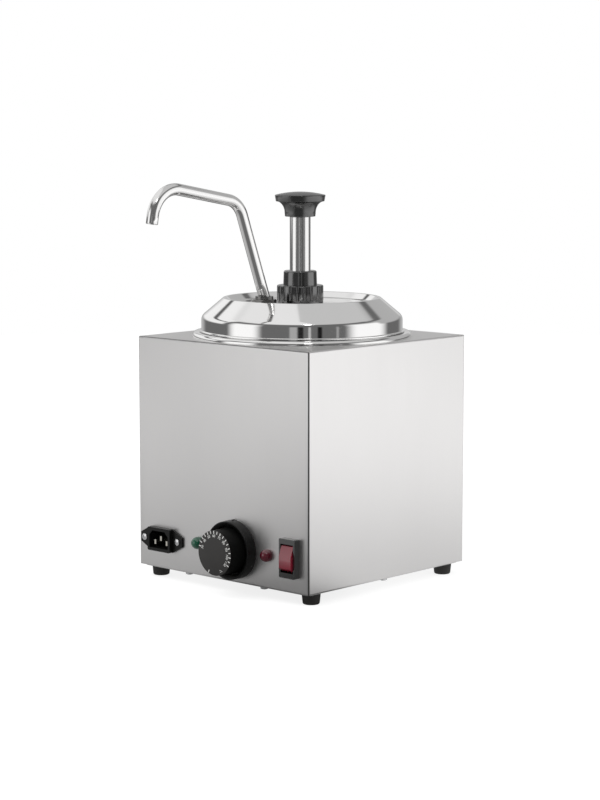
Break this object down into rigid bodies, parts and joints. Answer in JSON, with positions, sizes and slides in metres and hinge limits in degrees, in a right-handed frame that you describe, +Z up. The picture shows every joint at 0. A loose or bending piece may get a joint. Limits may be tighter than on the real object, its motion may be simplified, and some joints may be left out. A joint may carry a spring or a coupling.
{
  "type": "hot topping warmer",
  "caption": "Square steel counter-top warmer with a heated water bath, lift-out round pot and a lid carrying a plunger pump with a bent spout.",
  "frame": {"origin": "on the counter, under the middle of the housing (the axis of the bath, pot and lid)", "axes": "+Z up; the control panel faces -Y and the spout points to -Y; +X is to the right as seen from the front"},
  "size_m": [0.2, 0.2823, 0.3446],
  "materials": {
    "housing_steel": "satin stainless sheet",
    "plate_steel": "dull stainless sheet",
    "polished_steel": "mirror-polished stainless",
    "drawn_steel": "drawn stainless",
    "cast_steel": "cast stainless",
    "bright_steel": "bright screws and balls",
    "black_rubber": "moulded rubber",
    "black_plastic": "glossy moulded plastic",
    "dial_plastic": "satin moulded plastic",
    "rocker_red": "translucent red plastic",
    "lens_green": "translucent green plastic",
    "lens_red": "translucent red plastic",
    "lamp_white": "moulded plastic",
    "pin_brass": "nickel-plated brass",
    "copper": "copper capillary",
    "heater_sheath": "oxidised sheath",
    "thermostat_case": "moulded resin",
    "mineral_wool": "mineral wool",
    "silicone": "food-grade silicone",
    "seal_rubber": "food-grade rubber",
    "piston_plastic": "white moulded plastic",
    "wire_live": "insulated wire",
    "wire_neutral": "insulated wire",
    "wire_earth": "insulated wire",
    "wire_lamp": "insulated wire"
  },
  "bodies": {
    "root": {"housing_shell": "housing_steel", "base_plate": "plate_steel", "base_screws": "bright_steel", "foot_front_left": "black_rubber", "foot_front_right": "black_rubber", "foot_rear_left": "black_rubber", "foot_rear_right": "black_rubber", "foot_screws": "bright_steel", "bath_well": "drawn_steel", "insulation_jacket": "mineral_wool", "heating_element": "heater_sheath", "heater_clamp": "plate_steel", "clamp_nut": "bright_steel", "thermostat_body": "thermostat_case", "thermostat_screws": "bright_steel", "dial_bezel": "black_plastic", "capillary_tube": "copper", "sensing_bulb": "copper", "bulb_clip": "plate_steel", "thermal_cutout": "thermostat_case", "power_lamp_lens": "lens_green", "heat_lamp_lens": "lens_red", "lamp_bodies": "lamp_white", "lamp_clips": "plate_steel", "switch_frame": "black_plastic", "switch_terminals": "bright_steel", "inlet_body": "black_plastic", "inlet_pins": "pin_brass", "inlet_screws": "bright_steel", "earth_stud": "bright_steel", "live_wires": "wire_live", "neutral_wires": "wire_neutral", "earth_wire": "wire_earth", "lamp_leads": "wire_lamp"},
    "dial": {"thermostat_shaft": "bright_steel", "thermostat_dial": "dial_plastic"},
    "rocker": {"switch_rocker": "rocker_red"},
    "pot": {"food_pot": "drawn_steel"},
    "lid": {"lid": "polished_steel", "collar_nut": "black_plastic", "guide_sleeve": "black_plastic", "sleeve_gasket": "silicone", "pump_cylinder": "drawn_steel", "valve_body": "cast_steel", "inlet_cage": "cast_steel", "riser_tube": "drawn_steel", "outlet_fitting": "drawn_steel", "outlet_gasket": "silicone", "spout_nut": "polished_steel", "spout_tube": "polished_steel", "return_spring": "bright_steel"},
    "plunger": {"pump_knob": "black_plastic", "plunger_tube": "polished_steel", "tie_rod": "bright_steel", "piston": "piston_plastic", "piston_seal": "seal_rubber", "piston_nut": "bright_steel"},
    "inlet_ball": {"inlet_ball": "bright_steel"},
    "outlet_ball": {"outlet_ball": "bright_steel"}
  },
  "joints": [
    {"name": "dial_turn", "type": "hinge", "parent": "root", "child": "dial", "pos_m": [0.0155, -0.1, 0.038], "axis": [0, -1, 0], "range_deg": [-155, 120]},
    {"name": "switch_rock", "type": "hinge", "parent": "root", "child": "rocker", "pos_m": [0.081, -0.1, 0.0394], "axis": [1, 0, 0], "range_deg": [0, 20]},
    {"name": "pot_lift", "type": "slide", "parent": "root", "child": "pot", "axis": [0, 0, 1], "range_m": [0, 0.16]},
    {"name": "lid_lift", "type": "slide", "parent": "pot", "child": "lid", "axis": [0, 0, 1], "range_m": [0, 0.16]},
    {"name": "plunger_press", "type": "slide", "parent": "lid", "child": "plunger", "axis": [0, 0, -1], "range_m": [0, 0.042], "stiffness_N_per_m": 300, "springref_m": -0.03, "deforming": ["return_spring"]},
    {"name": "inlet_ball_lift", "type": "slide", "parent": "lid", "child": "inlet_ball", "axis": [0, 0, 1], "range_m": [0, 0.002]},
    {"name": "outlet_ball_lift", "type": "slide", "parent": "lid", "child": "outlet_ball", "axis": [0, 0, 1], "range_m": [0, 0.003]}
  ]
}
